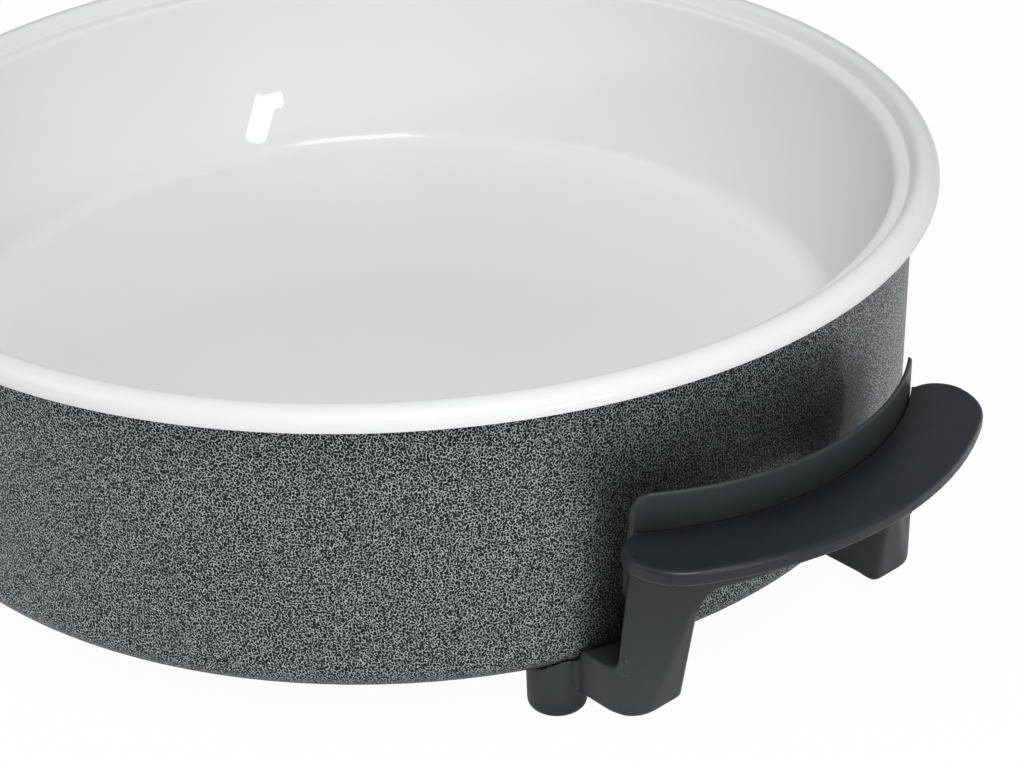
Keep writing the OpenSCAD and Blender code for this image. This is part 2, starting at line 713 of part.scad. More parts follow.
// Half of the grip's outline: inner edge from its middle, round the end, and the outer edge;
// k draws it in everywhere but at the guard
grip_steps = 10;
grip_tip = concat(
    [for (i = [1:12]) [0, ear_start_angle + (ear_end_angle - ear_start_angle) * i / 12]],
    [for (i = [1:6]) [1, ear_end_angle + (blend_angle - ear_end_angle) * i / 6]]
);
function grip_half(k) = concat(
    [for (i = [0:grip_steps]) let (a = inner_end_angle * i / grip_steps) grip_inner_r * [cos(a), sin(a)]],
    [for (t = grip_tip) let (c = t[0] == 0 ? [ear_off_x, ear_y] : blend_off, r = t[0] == 0 ? ear_r : blend_r)
        c + (r - k) * [cos(t[1]), sin(t[1])]],
    [for (i = [grip_steps - 1:-1:1]) let (a = blend_angle * i / grip_steps) (grip_r - k) * [cos(a), sin(a)]]
);

function grip_ring(k, z) = let (half = grip_half(k)) concat(
    [for (p = half) [p[0] + arc_x, p[1], z]],
    [[grip_r - k + arc_x, 0, z]],
    [for (i = [len(half) - 1:-1:1]) [half[i][0] + arc_x, -half[i][1], z]]
);

// Faces over the grip's outline: a strip between its two edges, and a fan at each end
tip_last = grip_steps + len(grip_tip);
ring_half_n = tip_last + grip_steps;
grip_half_cap = concat(
    [for (i = [0:grip_steps - 1]) [i, i + 1, ring_half_n - i - 1, ring_half_n - i]],
    [[for (i = [grip_steps:tip_last]) i]]
);
grip_cap = concat(
    grip_half_cap,
    [for (f = grip_half_cap) [for (i = reversed(f)) (2 * ring_half_n - i) % (2 * ring_half_n)]]
);

module grip() {
    e = grip_edge_r;
    difference() {
        skin([
            grip_ring(0.5, grip_low_z),
            grip_ring(0, grip_low_z + 0.5),
            for (a = [0:30:90]) grip_ring(e * (1 - cos(a)), grip_z - e + e * sin(a))
        ], grip_cap);
        both_sides() translate([grip_screw_x, grip_screw_y, shelf_z])
            cylinder(r = screw_r, h = grip_z - 2 - shelf_z);
    }
}

// Guard, wall and shelf in one: a profile turned about the arc's centre, cut to its rounded outline
module guard() {
    top = grip_z + guard_h;
    c = guard_half_w - guard_corner_r;
    shelf_r = grip_r - shelf_setback;
    intersection() {
        translate([arc_x, 0, 0]) rotate([0, 0, -45]) rotate_extrude(angle = 90) polygon([
            [guard_r - wall_t, wall_z], [guard_r, wall_z], [guard_r, shelf_z], [shelf_r, shelf_z],
            [shelf_r, grip_low_z], [guard_r, grip_low_z], [guard_r, top], [guard_r - guard_top_t, top],
            [guard_r - guard_t, grip_low_z - 1], [guard_r - wall_t, grip_low_z - 2]
        ]);
        translate([-9, 0, 0]) rotate([90, 0, 90]) linear_extrude(grip_reach + 9) polygon(concat(
            [[-guard_half_w, wall_z - 1], [guard_half_w, wall_z - 1]],
            arc(c, top - guard_corner_r, guard_corner_r, 0, 90),
            arc(-c, top - guard_corner_r, guard_corner_r, 90, 180)
        ));
    }
}

// Leg outline at the bottom: a flat outer face between two rounded corners
leg_corner_x = leg_face_x - leg_corner_r;
leg_corner_y = leg_outer_y - leg_corner_r;
leg_inner_corner = [leg_face_x - leg_inner_corner_r, leg_inner_y + leg_inner_corner_r];
function leg_low_plan() = let (a = acos((leg_corner_r - leg_t) / leg_corner_r)) concat(
    arc(leg_corner_x, leg_corner_y, leg_corner_r, a, 0, 15),
    arc(leg_inner_corner[0], leg_inner_corner[1], leg_inner_corner_r, 0, -90, 15),
    [[leg_face_x - leg_t, leg_inner_y]]
);

// Leg outline at the top: a piece of the curved wall, just under its faces
function leg_top_plan() = let (outer = guard_r - wall_skin, inner = guard_r - wall_t + wall_skin) concat(
    [for (i = [0:6]) let (a = leg_top_angle + (leg_inner_angle - leg_top_angle) * i / 6)
        [arc_x + outer * cos(a), outer * sin(a)]],
    [for (a = [leg_inner_angle, leg_top_angle]) [arc_x + inner * cos(a), inner * sin(a)]]
);

module leg_post() {
    edge = 1.5;
    hull() {
        translate([0, 0, leg_z]) linear_extrude(eps) offset(delta = -edge) polygon(leg_low_plan());
        translate([0, 0, leg_z + edge]) linear_extrude(arm_top_z - leg_z - edge) polygon(leg_low_plan());
        translate([0, 0, wall_z + 2]) linear_extrude(grip_low_z - wall_z - 4) polygon(leg_top_plan());
    }
}

// Quarter fillet of radius r in the corner at the origin, filling towards -X and -Y
module fillet(r) {
    difference() {
        translate([-r, -r]) square([r + 1, r + 1]);
        translate([-r, -r]) circle(r = r);
    }
}

// Arm between leg and foot; its side runs on round the leg's corners, just under their faces
module arm() {
    k = 0.2;
    edge = 1.5;
    arm_end_x = foot_x + 3;
    inner_x = leg_face_x - leg_t;
    plan = concat(
        [[arm_end_x, leg_inner_y + k], [arm_end_x, leg_outer_y - k]],
        arc(leg_corner_x, leg_corner_y, leg_corner_r - k, 90, 0, 15),
        arc(leg_inner_corner[0], leg_inner_corner[1], leg_inner_corner_r - k, 0, -90, 15)
    );
    hull() {
        translate([0, 0, leg_z + k]) linear_extrude(eps) offset(delta = -edge) polygon(plan);
        translate([0, 0, leg_z + k + edge]) linear_extrude(arm_top_z - leg_z - k - edge) polygon(plan);
    }
    // Fillet between the arm's top and the leg's inner face
    translate([inner_x, leg_outer_y - 1.5, arm_top_z]) rotate([90, 0, 0])
        linear_extrude(leg_outer_y - leg_inner_y - 2) difference() {
            translate([-arm_fillet, -1]) square([arm_fillet + 3.5, arm_fillet + 1]);
            translate([-arm_fillet, arm_fillet]) circle(r = arm_fillet);
        }
}

module foot() {
    translate([foot_x, foot_y, 0]) rotate_extrude($fn = 60) polygon(concat(
        [[0, 0]],
        arc(foot_r - foot_edge_r, foot_edge_r, foot_edge_r, -90, 0, 15),
        [[foot_r + foot_flare, arm_top_z - 1], [0, arm_top_z - 1]]
    ));
}

// The shell's outside with its clearance, which is cut out of the bracket
module shell_room() {
    translate([-shell_r, 0, 0]) rotate_extrude() polygon(concat(
        [[0, shell_lift - bracket_gap]],
        arc(shell_r - shell_corner_r, shell_lift + shell_corner_r, shell_corner_r + bracket_gap, -90, 0),
        [[shell_r + bracket_gap, shell_top_z], [0, shell_top_z]]
    ));
}

// Fillet between the leg's inner side and the wall's lower edge, as thick as the wall
module leg_web() {
    intersection() {
        translate([arc_x, 0, 0]) ring(guard_r - wall_t + wall_skin, guard_r - wall_skin, grip_low_z);
        translate([0, leg_inner_y + 1, wall_z + 1]) rotate([90, 0, 90]) linear_extrude(grip_reach)
            translate([-1, -1]) fillet(leg_fillet);
    }
}

module bracket() {
    difference() {
        union() {
            guard();
            both_sides() {
                leg_post();
                leg_web();
                arm();
                foot();
            }
        }
        shell_room();
        both_sides() {
            translate([foot_screw_x, foot_y, -1]) cylinder(r = foot_head_r + hole_gap, h = foot_seat_z + 1);
            translate([foot_screw_x, foot_y, 0]) cylinder(r = foot_screw_r + hole_gap, h = shell_lift + 1);
            translate([grip_screw_x, grip_screw_y, wall_z])
                cylinder(r = screw_r + hole_gap, h = grip_z - wall_z);
        }
    }
}

module bakelite(side) {
    color([0.14, 0.15, 0.16]) at_handle(side) children();
}

module right_bracket() {
    bakelite(1) bracket();
}

module left_bracket() {
    bakelite(-1) difference() {
        bracket();
        // Notch over the inlet's collar
        translate([0, -notch_w / 2, (wall_z + notch_top_z) / 2 - 10]) rotate([90, 0, 90])
            linear_extrude(grip_reach) rounded_rect(notch_w, notch_top_z - wall_z + 20, 6);
    }
}

module right_grip() {
    bakelite(1) grip();
}

module left_grip() {
    bakelite(-1) grip();
}

module grip_screws(side) {
    color([0.75, 0.75, 0.76]) at_handle(side) both_sides()
        translate([grip_screw_x, grip_screw_y, shelf_z])
            screw(screw_r, grip_z - 3 - shelf_z, head_r, head_h);
}

module right_grip_screws() {
    grip_screws(1);
}

module left_grip_screws() {
    grip_screws(-1);
}

module foot_screws(side) {
    color([0.75, 0.75, 0.76]) at_handle(side) both_sides()
        translate([foot_screw_x, foot_y, foot_seat_z])
            screw(foot_screw_r, ring_top_z + anchor_t + 2 - foot_seat_z, foot_head_r, 3.2);
}

module right_foot_screws() {
    foot_screws(1);
}

module left_foot_screws() {
    foot_screws(-1);
}

module anchor_plates() {
    color([0.60, 0.60, 0.61]) for (side = [1, -1]) at_handle(side) both_sides()
        difference() {
            intersection() {
                translate([foot_screw_x - 9, foot_y - 9, ring_top_z]) cube([15, 15, anchor_t]);
                translate([-shell_r, 0, 0]) cylinder(r = shell_r - shell_corner_r - 0.5, h = overall_h);
            }
            translate([foot_screw_x, foot_y, ring_top_z - 1]) cylinder(r = foot_screw_r, h = anchor_t + 2);
        }
}

// ---- Control ----

// Outline of the control's body from its inner end, drawn in by k
module control_plan(k) {
    translate([ctrl_x + k, 0]) rounded_rect(ctrl_l - 2 * k, ctrl_w - 2 * k, ctrl_corner_r - k, $fn = 48);
}

// Upper half of the control's body, drawn in by k all over, above the parting plane
module control_half(k) {
    crown = ctrl_crown;
    hull() {
        linear_extrude(ctrl_h / 2 - crown) control_plan(k);
        linear_extrude(ctrl_h / 2 - crown * 0.35 - k) control_plan(k + crown * 0.2);
        linear_extrude(ctrl_h / 2 - k) control_plan(k + crown * 0.7);
    }
}

module half_nose() {
    translate([nose_x, -nose_w / 2, 0]) cube([ctrl_x - nose_x + ctrl_t, nose_w, nose_h / 2 - 2]);
    translate([nose_x, -nose_w / 2 + 2, 0]) cube([ctrl_x - nose_x + ctrl_t, nose_w - 4, nose_h / 2]);
}

module control_post_places() {
    for (x = [ctrl_x + ctrl_post_inset, ctrl_end_x - ctrl_post_inset], y = [-1, 1])
        translate([x, y * (ctrl_w / 2 - ctrl_post_inset - 1), 0]) children();
}

// One housing half, with its posts; the parting plane is at z 0
module control_shell() {
    difference() {
        union() {
            difference() {
                union() {
                    control_half(0);
                    half_nose();
                }
                translate([0, 0, -eps]) control_half(ctrl_t);
            }
            intersection() {
                control_post_places() cylinder(r = ctrl_post_r, h = ctrl_h / 2);
                control_half(ctrl_t / 2);
            }
        }
        for (y = [-cold_y, cold_y]) translate([nose_x, y, 0]) rotate([0, 90, 0]) {
            translate([0, 0, -1]) cylinder(r = pin_r + 0.6, h = 10);
            translate([0, 0, sleeve_x - nose_x]) cylinder(r = sleeve_r, h = ctrl_x - sleeve_x + ctrl_t + 1);
        }
        translate([nose_x - 1, 0, 0]) rotate([0, 90, 0])
            cylinder(r = probe_r + 0.05, h = ctrl_x - nose_x + ctrl_t + 2);
        translate([ctrl_end_x - ctrl_t - 1, 0, 0]) rotate([0, 90, 0]) cylinder(r = gland_r, h = ctrl_t + 2);
    }
}

module control_upper() {
    color([0.15, 0.16, 0.17]) at_inlet() difference() {
        translate([0, 0, axis_z]) control_shell();
        translate([dial_x, 0, axis_z]) cylinder(r = spindle_r + spindle_gap, h = ctrl_h);
        translate([lamp_x, lamp_y, axis_z + 5]) cylinder(r = lamp_r, h = ctrl_h);
        control_post_places() translate([0, 0, axis_z - 1]) cylinder(r = screw_r, h = 10);
    }
}

module control_lower() {
    color([0.15, 0.16, 0.17]) at_inlet() difference() {
        translate([0, 0, axis_z]) mirror([0, 0, 1]) control_shell();
        control_post_places() {
            translate([0, 0, ctrl_low_z - 1]) cylinder(r = screw_r + hole_gap, h = ctrl_h);
            translate([0, 0, ctrl_low_z - 1]) cylinder(r = head_r - 0.2, h = 4);
        }
    }
}

module control_screws() {
    color([0.75, 0.75, 0.76]) at_inlet() control_post_places()
        translate([0, 0, ctrl_low_z + 3]) screw(screw_r, ctrl_h / 2 + 4, head_r - 0.4, head_h);
}

module contact_sleeves() {
    color([0.80, 0.70, 0.45]) at_inlet() both_sides()
        translate([sleeve_x, cold_y, axis_z]) rotate([0, 90, 0])
            ring(pin_r + sleeve_gap, sleeve_r, sleeve_l);
}

// Flat strips from the sleeves back to the switch
module switch_blades() {
    blade_w = 5;
    blade_t = 0.8;
    start_x = sleeve_x + sleeve_l;
    blade_l = dial_x - switch_l / 2 - start_x;
    tail_l = cold_y - blade_w / 2 - switch_w / 2 + 4;
    color([0.80, 0.70, 0.45]) at_inlet() both_sides()
        translate([start_x, cold_y - blade_w / 2, axis_z - blade_t / 2]) {
            cube([blade_l, blade_w, blade_t]);
            translate([blade_l - blade_t, -tail_l, 0]) cube([blade_t, tail_l + blade_w, blade_w]);
        }
}

module thermostat_switch() {
    color([0.88, 0.86, 0.80]) at_inlet() translate([dial_x, 0, switch_top_z - switch_h]) difference() {
        union() {
            translate([-switch_l / 2, -switch_w / 2, 0]) cube([switch_l, switch_w, switch_h]);
            cylinder(r = spindle_r * 2, h = switch_h + 3);
        }
        translate([0, 0, 4]) cylinder(r = spindle_r + spindle_gap, h = switch_h);
    }
}

module probe() {
    color([0.74, 0.75, 0.76]) at_inlet() translate([probe_tip_x, 0, axis_z]) rotate([0, 90, 0]) {
        translate([0, 0, probe_r]) sphere(r = probe_r);
        translate([0, 0, probe_r]) cylinder(r = probe_r, h = dial_x - switch_l / 2 - probe_tip_x - probe_r);
    }
}

lamp_x = ctrl_x + 36;
lamp_y = 23;

module pilot_lamp() {
    color([0.80, 0.10, 0.06]) at_inlet() translate([lamp_x, lamp_y, 0]) {
        translate([0, 0, ctrl_top_z - 8]) cylinder(r = lamp_r, h = 8);
        translate([0, 0, ctrl_top_z - 9]) cylinder(r = lamp_r + 1.2, h = 9 - ctrl_t - 3);
        intersection() {
            translate([0, 0, ctrl_top_z - 1]) sphere(r = lamp_r);
            translate([0, 0, ctrl_top_z]) cylinder(r = lamp_r, h = lamp_r);
        }
    }
}

module cord_gland() {
    color([0.12, 0.12, 0.12]) at_inlet() translate([ctrl_end_x, 0, axis_z]) rotate([0, 90, 0]) difference() {
        union() {
            cylinder(r = gland_flange_r, h = gland_flange_t);
            translate([0, 0, -ctrl_t]) cylinder(r = gland_r, h = ctrl_t);
            translate([0, 0, -ctrl_t - gland_flange_t]) cylinder(r = gland_flange_r, h = gland_flange_t);
        }
        translate([0, 0, -ctrl_t - gland_flange_t - 1])
            cylinder(r = cord_hole_r, h = ctrl_t + 2 * gland_flange_t + 2);
    }
}

// ---- Dial ----

module dial() {
    color([0.16, 0.17, 0.18]) at_inlet() translate([dial_x, 0, dial_z]) difference() {
        union() {
            cylinder(r = dial_r, h = 3);
            linear_extrude(dial_h) difference() {
                circle(r = dial_r - 1.5);
                for (i = [0:dial_grooves - 1]) rotate([0, 0, i * 360 / dial_grooves])
                    translate([dial_r - 1.5 + dial_groove_r * 0.5, 0]) circle(r = dial_groove_r);
            }
        }
        // Shallow dish with the pointer's groove
        translate([0, 0, dial_h - 1]) cylinder(r = dial_r - 5, h = 2);
        translate([dial_r - 9, -0.8, dial_h - 1.8]) cube([12, 1.6, 3]);
        translate([0, 0, -1]) cylinder(r = spindle_r, h = dial_h - 2);
    }
}

module dial_spindle() {
    spindle_low_z = switch_top_z - switch_h + 5;
    color([0.78, 0.78, 0.79]) at_inlet() translate([dial_x, 0, spindle_low_z])
        cylinder(r = spindle_r, h = dial_z + dial_h - 3 - spindle_low_z);
}

cooking_pan();
outer_shell();
heat_plate();
heating_element();
terminal_pins();
element_clips();
clip_screws();
heat_shield();
bottom_cover();
cover_fasteners();
tie_stud();
tie_washer();
tie_nut();
inlet_block();
inlet_collar();
inlet_screws();
earth_strap();
anchor_plates();
right_bracket();
left_bracket();
right_grip();
left_grip();
right_grip_screws();
left_grip_screws();
right_foot_screws();
left_foot_screws();
control_upper();
control_lower();
control_screws();
contact_sleeves();
switch_blades();
thermostat_switch();
probe();
pilot_lamp();
cord_gland();
dial();
dial_spindle();
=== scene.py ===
"""Looks of the electric skillet: a white coated bowl in a hammered charcoal shell, on black handles."""

import json
import math

import bmesh
import bpy
from mathutils import Matrix, Vector

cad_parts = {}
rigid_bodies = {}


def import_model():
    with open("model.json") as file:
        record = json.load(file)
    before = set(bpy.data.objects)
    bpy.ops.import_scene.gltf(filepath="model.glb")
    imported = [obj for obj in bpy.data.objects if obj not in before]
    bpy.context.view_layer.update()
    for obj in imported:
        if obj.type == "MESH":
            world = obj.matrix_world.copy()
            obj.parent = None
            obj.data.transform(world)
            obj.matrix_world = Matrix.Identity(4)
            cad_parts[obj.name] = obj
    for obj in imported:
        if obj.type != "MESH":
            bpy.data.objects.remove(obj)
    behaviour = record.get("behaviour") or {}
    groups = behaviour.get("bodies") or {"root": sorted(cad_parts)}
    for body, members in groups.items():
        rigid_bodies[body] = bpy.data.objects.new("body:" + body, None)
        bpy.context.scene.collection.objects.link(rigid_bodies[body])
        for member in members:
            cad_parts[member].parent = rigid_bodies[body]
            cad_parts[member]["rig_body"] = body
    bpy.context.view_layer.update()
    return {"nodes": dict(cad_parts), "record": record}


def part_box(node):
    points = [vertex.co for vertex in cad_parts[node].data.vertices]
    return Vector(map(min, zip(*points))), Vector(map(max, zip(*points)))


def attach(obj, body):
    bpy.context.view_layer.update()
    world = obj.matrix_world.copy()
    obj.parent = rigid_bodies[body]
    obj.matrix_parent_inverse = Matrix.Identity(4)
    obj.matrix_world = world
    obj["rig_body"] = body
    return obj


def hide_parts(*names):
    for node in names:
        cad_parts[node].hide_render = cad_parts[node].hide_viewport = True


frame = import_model()
NODES = frame["nodes"]
SLOT_OF = {row["node"]: row["material_slot"] for row in frame["record"]["subparts"]}

MM = 0.001
PAN_X = 0.03265  # the pan's upright axis
DIAL_X = PAN_X - 0.2872  # the dial's upright axis


# ---------------------------------------------------------------- camera
PICTURE_W = 1024
SENSOR_MM = 36
FOCAL_PX = 2517.25
CAMERA_BACK = 0.88738  # metres from the pan's axis
CAMERA_UP = 0.522935  # metres above the table
CAMERA_TURN = 51.6  # degrees round the pan, from the -Y side towards +X
CAMERA_YAW = 3.017
CAMERA_PITCH = 29.312  # degrees down
CAMERA_ROLL = 1.390
CLIP_NEAR = 0.02
CLIP_FAR = 60


def make_camera():
    """The photograph's camera, as fitted to the rim, the lid seat, the floor and the underside."""
    angles = (CAMERA_TURN, CAMERA_YAW, CAMERA_PITCH, CAMERA_ROLL)
    turn, yaw, pitch, roll = (math.radians(angle) for angle in angles)
    forward = Vector((math.sin(yaw) * math.cos(pitch), math.cos(yaw) * math.cos(pitch), -math.sin(pitch)))
    level = Vector((math.cos(yaw), -math.sin(yaw), 0))
    plumb = forward.cross(level)
    right = math.cos(roll) * level + math.sin(roll) * plumb
    down = -math.sin(roll) * level + math.cos(roll) * plumb
    spin = Matrix.Rotation(turn, 3, "Z")
    axes = Matrix((spin @ right, spin @ -down, spin @ -forward)).transposed().to_4x4()
    place = spin @ Vector((0, -CAMERA_BACK, 0)) + Vector((PAN_X, 0, CAMERA_UP))
    data = bpy.data.cameras.new("camera")
    data.sensor_width = SENSOR_MM
    data.lens = FOCAL_PX / PICTURE_W * SENSOR_MM
    data.clip_start = CLIP_NEAR
    data.clip_end = CLIP_FAR
    camera = bpy.data.objects.new("camera", data)
    camera.matrix_world = Matrix.Translation(place) @ axes
    bpy.context.scene.collection.objects.link(camera)
    bpy.context.scene.camera = camera


make_camera()


# ---------------------------------------------------------------- shader nodes
WIDE = (0.3, 0.7)  # nearly the whole range of a noise
MIDDLE = (0.35, 0.65)  # the part of that range where most of a noise lies


def new_material(name):
    """A material, its node tree, its shader and the object coordinates in metres."""
    mat = bpy.data.materials.new(name)
    mat.use_nodes = True
    tree = mat.node_tree
    shader = tree.nodes["Principled BSDF"]
    place = tree.nodes.new("ShaderNodeTexCoord")
    return mat, tree, shader, place.outputs["Object"]


def feed(tree, value, socket):
    """Gives a socket either the output of another node or a constant."""
    if isinstance(value, bpy.types.NodeSocket):
        tree.links.new(value, socket)
    else:
        socket.default_value = value


def set_values(node, values):
    for key, value in values.items():
        node.inputs[key].default_value = value


def noise(tree, vector, scale, detail=2.0, rough=0.5, distortion=0.0, output="Fac"):
    node = tree.nodes.new("ShaderNodeTexNoise")
    set_values(node, {"Scale": scale, "Detail": detail, "Roughness": rough, "Distortion": distortion})
    feed(tree, vector, node.inputs["Vector"])
    return node.outputs[output]


def math_node(tree, kind, *values):
    node = tree.nodes.new("ShaderNodeMath")
    node.operation = kind
    for socket, value in zip(node.inputs, values):
        feed(tree, value, socket)
    return node.outputs[0]


def vector_node(tree, kind, *values):
    node = tree.nodes.new("ShaderNodeVectorMath")
    node.operation = kind
    for socket, value in zip(node.inputs, values):
        feed(tree, value, socket)
    return node.outputs[0]


def remap(tree, value, source, target=(0.0, 1.0), smooth=False):
    """Takes a value from its source range to the target range."""
    node = tree.nodes.new("ShaderNodeMapRange")
    node.interpolation_type = "SMOOTHSTEP" if smooth else "LINEAR"
    feed(tree, value, node.inputs["Value"])
    set_values(node, {"From Min": source[0], "From Max": source[1], "To Min": target[0], "To Max": target[1]})
    return node.outputs["Result"]


def mix_colour(tree, factor, a, b):
    """A blend from a to b, each a colour of three numbers or the output of another node."""
    node = tree.nodes.new("ShaderNodeMix")
    node.data_type = "RGBA"
    in_factor, in_a, in_b, out = node.inputs[0], node.inputs[6], node.inputs[7], node.outputs[2]
    feed(tree, factor, in_factor)
    for value, socket in ((a, in_a), (b, in_b)):
        feed(tree, (*value, 1) if isinstance(value, tuple) else value, socket)
    return out


def bump(tree, shader, height, strength, distance):
    node = tree.nodes.new("ShaderNodeBump")
    set_values(node, {"Strength": strength, "Distance": distance})
    feed(tree, height, node.inputs["Height"])
    feed(tree, node.outputs["Normal"], shader.inputs["Normal"])


def occlusion(tree, reach, samples, inside=False):
    """How open a point is over the given reach in metres; inside looks into the piece, so edges stand out."""
    node = tree.nodes.new("ShaderNodeAmbientOcclusion")
    node.samples = samples
    node.inside = inside
    node.inputs["Distance"].default_value = reach
    return node.outputs["AO"]


def painted_shade_factor(tree, reach, openness, least):
    """A painted shade: a factor that falls to its least value in corners and gaps, over the given reach in
    metres, for darkening colours there.
    """
    return remap(tree, occlusion(tree, reach, 6), openness, (least, 1.0), smooth=True)


# ---------------------------------------------------------------- materials
def ceramic_coat():
    """White ceramic coating: satin body under a clear gloss, faintly cloudy, with a trace of orange peel."""
    mat, tree, shader, at = new_material("ceramic_coat")
    cloud = remap(tree, noise(tree, at, scale=9, detail=3), MIDDLE)
    colour = mix_colour(tree, cloud, (0.758, 0.763, 0.765), (0.776, 0.781, 0.783))
    feed(tree, colour, shader.inputs["Base Color"])
    rough = remap(tree, noise(tree, at, scale=60), WIDE, (0.30, 0.38))
    feed(tree, rough, shader.inputs["Roughness"])
    set_values(shader, {"Specular IOR Level": 0.11, "Coat Weight": 0.32, "Coat Roughness": 0.03})
    bump(tree, shader, noise(tree, at, scale=160, detail=1), strength=0.03, distance=0.0002)
    return mat


def unrolled(tree, at):
    """The shell's skin laid flat: distance round the wall, then distance from the axis plus height."""
    wall_radius = 0.2
    slope_fit = 0.85  # between 1, which suits the wall, and 0.7, which suits the slope of the lower corner
    centred = vector_node(tree, "SUBTRACT", at, (PAN_X, 0, 0))
    parts = tree.nodes.new("ShaderNodeSeparateXYZ")
    feed(tree, centred, parts.inputs[0])
    x, y, z = parts.outputs
    x_squared = math_node(tree, "MULTIPLY", x, x)
    y_squared = math_node(tree, "MULTIPLY", y, y)
    radius = math_node(tree, "SQRT", math_node(tree, "ADD", x_squared, y_squared))
    around = math_node(tree, "MULTIPLY", math_node(tree, "ARCTAN2", y, x), wall_radius)
    along = math_node(tree, "MULTIPLY", math_node(tree, "ADD", radius, z), slope_fit)
    flat = tree.nodes.new("ShaderNodeCombineXYZ")
    feed(tree, around, flat.inputs[0])
    feed(tree, along, flat.inputs[1])
    return flat.outputs[0]


def hammered_paint():
    """Charcoal paint with raised, worm-like threads of silver metal about a millimetre apart, with painted
    shade that dims the threads in corners and gaps, by the handles and under the rim.
    """
    cells_per_metre = 960
    wander = 0.0013  # metres by which the threads stray from straight edges
    mat, tree, shader, at = new_material("hammered_paint")
    stray = noise(tree, at, scale=700, detail=1.0, output="Color")
    shifted = vector_node(tree, "MULTIPLY_ADD", stray, (wander, wander, wander), unrolled(tree, at))
    cells = tree.nodes.new("ShaderNodeTexVoronoi")
    cells.voronoi_dimensions = "2D"
    cells.feature = "DISTANCE_TO_EDGE"
    cells.inputs["Scale"].default_value = cells_per_metre
    feed(tree, shifted, cells.inputs["Vector"])
    web = remap(tree, cells.outputs["Distance"], (0.04, 0.20), (1.0, 0.0), smooth=True)
    grain = remap(tree, noise(tree, at, scale=1500, detail=1), (0.40, 0.54), (0.05, 1.0), smooth=True)
    # painted shade: the threads darken where the shell is hemmed in, by the handles and under the rim
    shade = painted_shade_factor(tree, reach=0.034, openness=(0.35, 0.93), least=0.08)
    # the thread pattern times the painted shade; it sets the colour, the metal and the roughness
    fleck_with_painted_shade = math_node(tree, "MULTIPLY", math_node(tree, "MULTIPLY", web, grain), shade)
    colour = mix_colour(tree, fleck_with_painted_shade, (0.0028, 0.0042, 0.0050), (0.487, 0.527, 0.540))
    feed(tree, colour, shader.inputs["Base Color"])
    feed(tree, remap(tree, fleck_with_painted_shade, (0.1, 0.6), (0.0, 0.95)), shader.inputs["Metallic"])
    feed(tree, remap(tree, fleck_with_painted_shade, (0, 1), (0.5, 0.40)), shader.inputs["Roughness"])
    gloss = {"Coat Weight": 0.20, "Coat Roughness": 0.12, "Coat IOR": 1.45}
    set_values(shader, {"Specular IOR Level": 0.10, **gloss})
    bump(tree, shader, web, strength=0.25, distance=0.00012)
    return mat


def moulded_plastic(name, dark, light, rough, grain=1500, strength=0.12, specular=0.28, edge_highlight=0.0):
    """Black phenolic plastic: blue-black with faint flow clouds, fine moulded grain, painted shade in corners
    and gaps, and a painted highlight on open edges if asked for.
    """
    shadow_share = 0.3  # what is left of the colour in corners and gaps, where shade is painted
    # colour of the painted highlight along open edges
    highlight_colour = (0.120, 0.128, 0.136)
    mat, tree, shader, at = new_material(name)
    cloud = remap(tree, noise(tree, at, scale=38, detail=4, rough=0.55, distortion=0.6), (0.32, 0.68))
    # painted shade: the colour darkens in corners and gaps within two centimetres
    shade = painted_shade_factor(tree, reach=0.02, openness=(0.35, 0.9), least=0.0)
    shadow = tuple(part * shadow_share for part in dark)
    colour = mix_colour(tree, shade, shadow, mix_colour(tree, cloud, dark, light))
    # painted highlight: convex edges are lightened, except where the painted shade falls
    if edge_highlight:
        edge = occlusion(tree, reach=0.0014, samples=4, inside=True)
        painted_highlight = remap(tree, edge, (0.56, 0.80), (edge_highlight, 0.0), smooth=True)
        unshaded_highlight = math_node(tree, "MULTIPLY", painted_highlight, shade)
        colour = mix_colour(tree, unshaded_highlight, colour, highlight_colour)
    feed(tree, colour, shader.inputs["Base Color"])
    feed(tree, remap(tree, noise(tree, at, scale=95, detail=3), WIDE, rough), shader.inputs["Roughness"])
    set_values(shader, {"Specular IOR Level": specular})
    bump(tree, shader, noise(tree, at, grain, rough=0.6), strength, distance=0.00008)
    return mat


def metal(name, colour, tint, rough, scale=300, stretch=(1, 1, 1), strength=0.05, metallic=1.0):
    """Bare or plated metal with a drawn or cast grain."""
    mat, tree, shader, at = new_material(name)
    fit = tree.nodes.new("ShaderNodeMapping")
    fit.inputs["Scale"].default_value = stretch
    feed(tree, at, fit.inputs["Vector"])
    grain = noise(tree, fit.outputs["Vector"], scale, detail=3)
    stain = remap(tree, noise(tree, at, scale=45, detail=4), MIDDLE)
    feed(tree, mix_colour(tree, stain, colour, tint), shader.inputs["Base Color"])
    feed(tree, remap(tree, grain, WIDE, rough), shader.inputs["Roughness"])
    set_values(shader, {"Metallic": metallic})
    bump(tree, shader, grain, strength, distance=0.0002)
    return mat


def dull(name, dark, light, rough, scale=220, strength=0.2):
    """Unglazed ceramic, rubber and other plain insulating stuff."""
    spread = 0.06
    mat, tree, shader, at = new_material(name)
    spots = remap(tree, noise(tree, at, scale, detail=4), MIDDLE)
    feed(tree, mix_colour(tree, spots, dark, light), shader.inputs["Base Color"])
    patches = remap(tree, noise(tree, at, scale * 3), WIDE, (rough - spread, rough + spread))
    feed(tree, patches, shader.inputs["Roughness"])
    bump(tree, shader, noise(tree, at, scale * 4), strength, distance=0.0001)
    return mat


